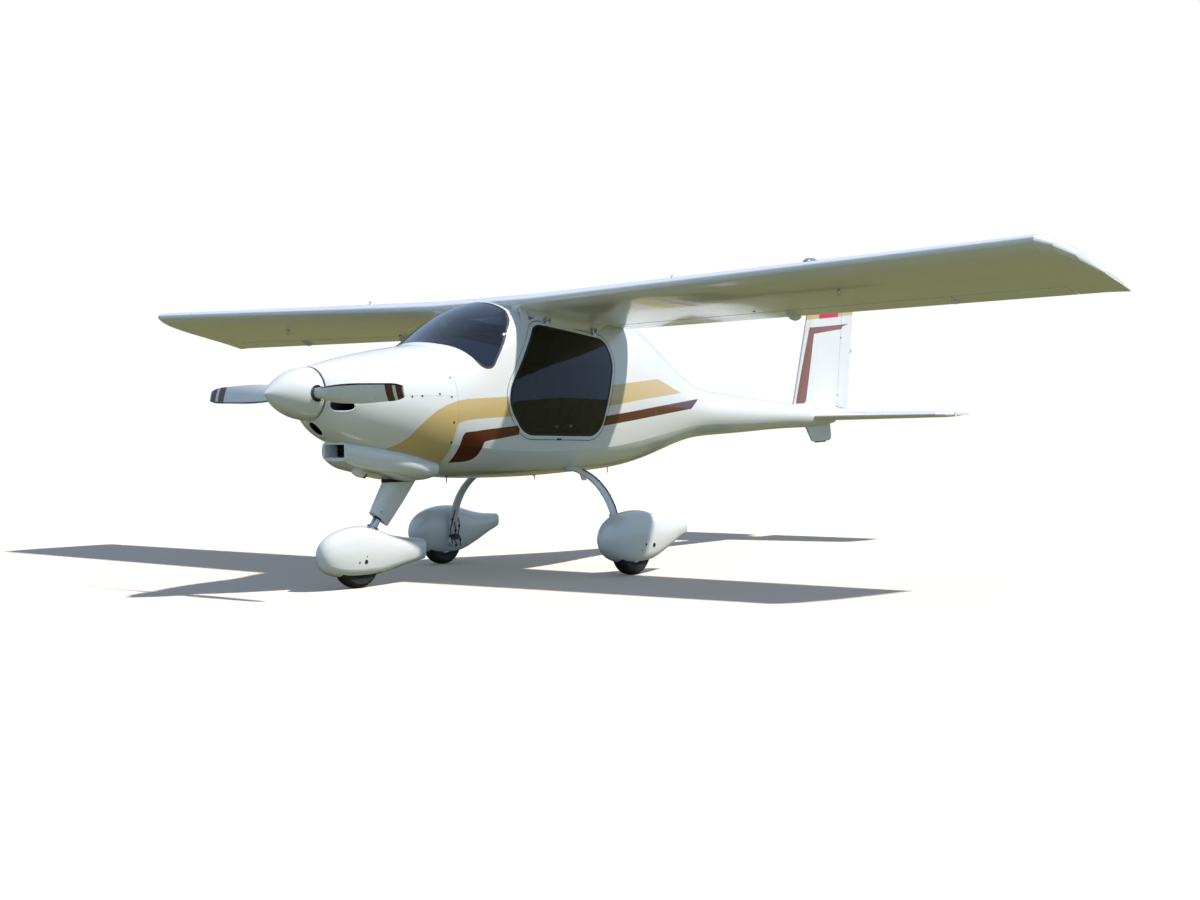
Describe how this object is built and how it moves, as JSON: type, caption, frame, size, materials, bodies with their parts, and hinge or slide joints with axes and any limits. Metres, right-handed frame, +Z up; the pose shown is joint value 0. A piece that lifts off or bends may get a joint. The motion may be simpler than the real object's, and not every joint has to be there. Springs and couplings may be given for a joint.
{
  "type": "microlight aircraft",
  "caption": "High-wing two-seat composite microlight aircraft with a pod-and-boom fuselage, tractor propeller and fixed tricycle gear with wheel fairings.",
  "frame": {"origin": "on the ground under the middle of the aircraft's length, in its plane of symmetry", "axes": "+X to the nose, +Y to the aircraft's left (along the wing), +Z up"},
  "size_m": [6.59, 8.26, 2.375],
  "materials": {
    "white_gelcoat": "gloss white gelcoat with tan and brown stripes",
    "glass": "tinted acrylic",
    "tyre": "black rubber",
    "rim": "satin cast",
    "steel": "ground and polished",
    "engine": "dark casting",
    "interior": "dark moulded trim",
    "cushion": "grey upholstery",
    "composite_dark": "dark composite",
    "propeller_white": "white lacquer with brown bands"
  },
  "bodies": {
    "airframe": {"cowl_upper": "white_gelcoat", "cowl_lower": "white_gelcoat", "chin_scoop": "white_gelcoat", "engine_block": "engine", "firewall": "steel", "cabin_shell": "white_gelcoat", "cabin_floor": "interior", "windshield": "glass", "skylight": "glass", "wing_centre": "white_gelcoat", "tail_boom": "white_gelcoat", "fin": "white_gelcoat", "stabiliser": "white_gelcoat", "ventral_fin": "white_gelcoat", "nose_leg": "white_gelcoat", "seat_pans": "interior", "seat_cushions": "cushion", "instrument_panel": "interior", "control_sticks": "composite_dark", "wing_left": "white_gelcoat", "door_hinges_left": "steel", "main_leg_left": "composite_dark", "main_spat_left": "white_gelcoat", "wing_right": "white_gelcoat", "door_hinges_right": "steel", "main_leg_right": "composite_dark", "main_spat_right": "white_gelcoat"},
    "propeller_unit": {"propeller": "propeller_white", "spinner": "white_gelcoat"},
    "nose_steering": {"nose_fork": "steel", "nose_spat": "white_gelcoat"},
    "nose_wheel": {"nose_tyre": "tyre", "nose_rim": "rim"},
    "wheel_left": {"main_tyre_left": "tyre", "main_rim_left": "rim"},
    "wheel_right": {"main_tyre_right": "tyre", "main_rim_right": "rim"},
    "door_left": {"door_frame_left": "white_gelcoat", "door_glass_left": "glass"},
    "door_right": {"door_frame_right": "white_gelcoat", "door_glass_right": "glass"},
    "flaperon_left": {"flaperon_left": "white_gelcoat"},
    "flaperon_right": {"flaperon_right": "white_gelcoat"},
    "elevator": {"elevator": "white_gelcoat"},
    "rudder": {"rudder": "white_gelcoat"}
  },
  "joints": [
    {"name": "propeller_spin", "type": "hinge", "parent": "airframe", "child": "propeller_unit", "pos_m": [3.007, 0, 1.228], "axis": [1, 0, 0], "continuous": true},
    {"name": "nose_steer", "type": "hinge", "parent": "airframe", "child": "nose_steering", "pos_m": [2.592, 0, 0.168], "axis": [-0.5664, 0, 0.8241], "range_deg": [-20, 20]},
    {"name": "nose_wheel_spin", "type": "hinge", "parent": "nose_steering", "child": "nose_wheel", "pos_m": [2.592, 0, 0.168], "axis": [0, 1, 0], "continuous": true},
    {"name": "wheel_left_spin", "type": "hinge", "parent": "airframe", "child": "wheel_left", "pos_m": [0.965, 0.91, 0.168], "axis": [0, 1, 0], "continuous": true},
    {"name": "wheel_right_spin", "type": "hinge", "parent": "airframe", "child": "wheel_right", "pos_m": [0.965, -0.91, 0.168], "axis": [0, 1, 0], "continuous": true},
    {"name": "door_left_open", "type": "hinge", "parent": "airframe", "child": "door_left", "pos_m": [1.39, 0.46553, 1.7142], "axis": [0.9916, 0, 0.129], "range_deg": [0, 80]},
    {"name": "door_right_open", "type": "hinge", "parent": "airframe", "child": "door_right", "pos_m": [1.39, -0.46553, 1.7142], "axis": [-0.9916, 0, -0.129], "range_deg": [0, 80]},
    {"name": "flaperon_left_turn", "type": "hinge", "parent": "airframe", "child": "flaperon_left", "pos_m": [0.57137, 0.505, 1.73609], "axis": [-0.0229, 0.9996, 0.0167], "range_deg": [-30, 20]},
    {"name": "flaperon_right_turn", "type": "hinge", "parent": "airframe", "child": "flaperon_right", "pos_m": [0.57137, -0.505, 1.73609], "axis": [0.0229, 0.9996, -0.0167], "range_deg": [-30, 20]},
    {"name": "elevator_turn", "type": "hinge", "parent": "airframe", "child": "elevator", "pos_m": [-2.927, 0, 1.045], "axis": [0, 1, 0], "range_deg": [-20, 25]},
    {"name": "rudder_turn", "type": "hinge", "parent": "airframe", "child": "rudder", "pos_m": [-2.943, 0, 1.132], "axis": [-0.1275, 0, 0.9918], "range_deg": [-25, 25]}
  ]
}
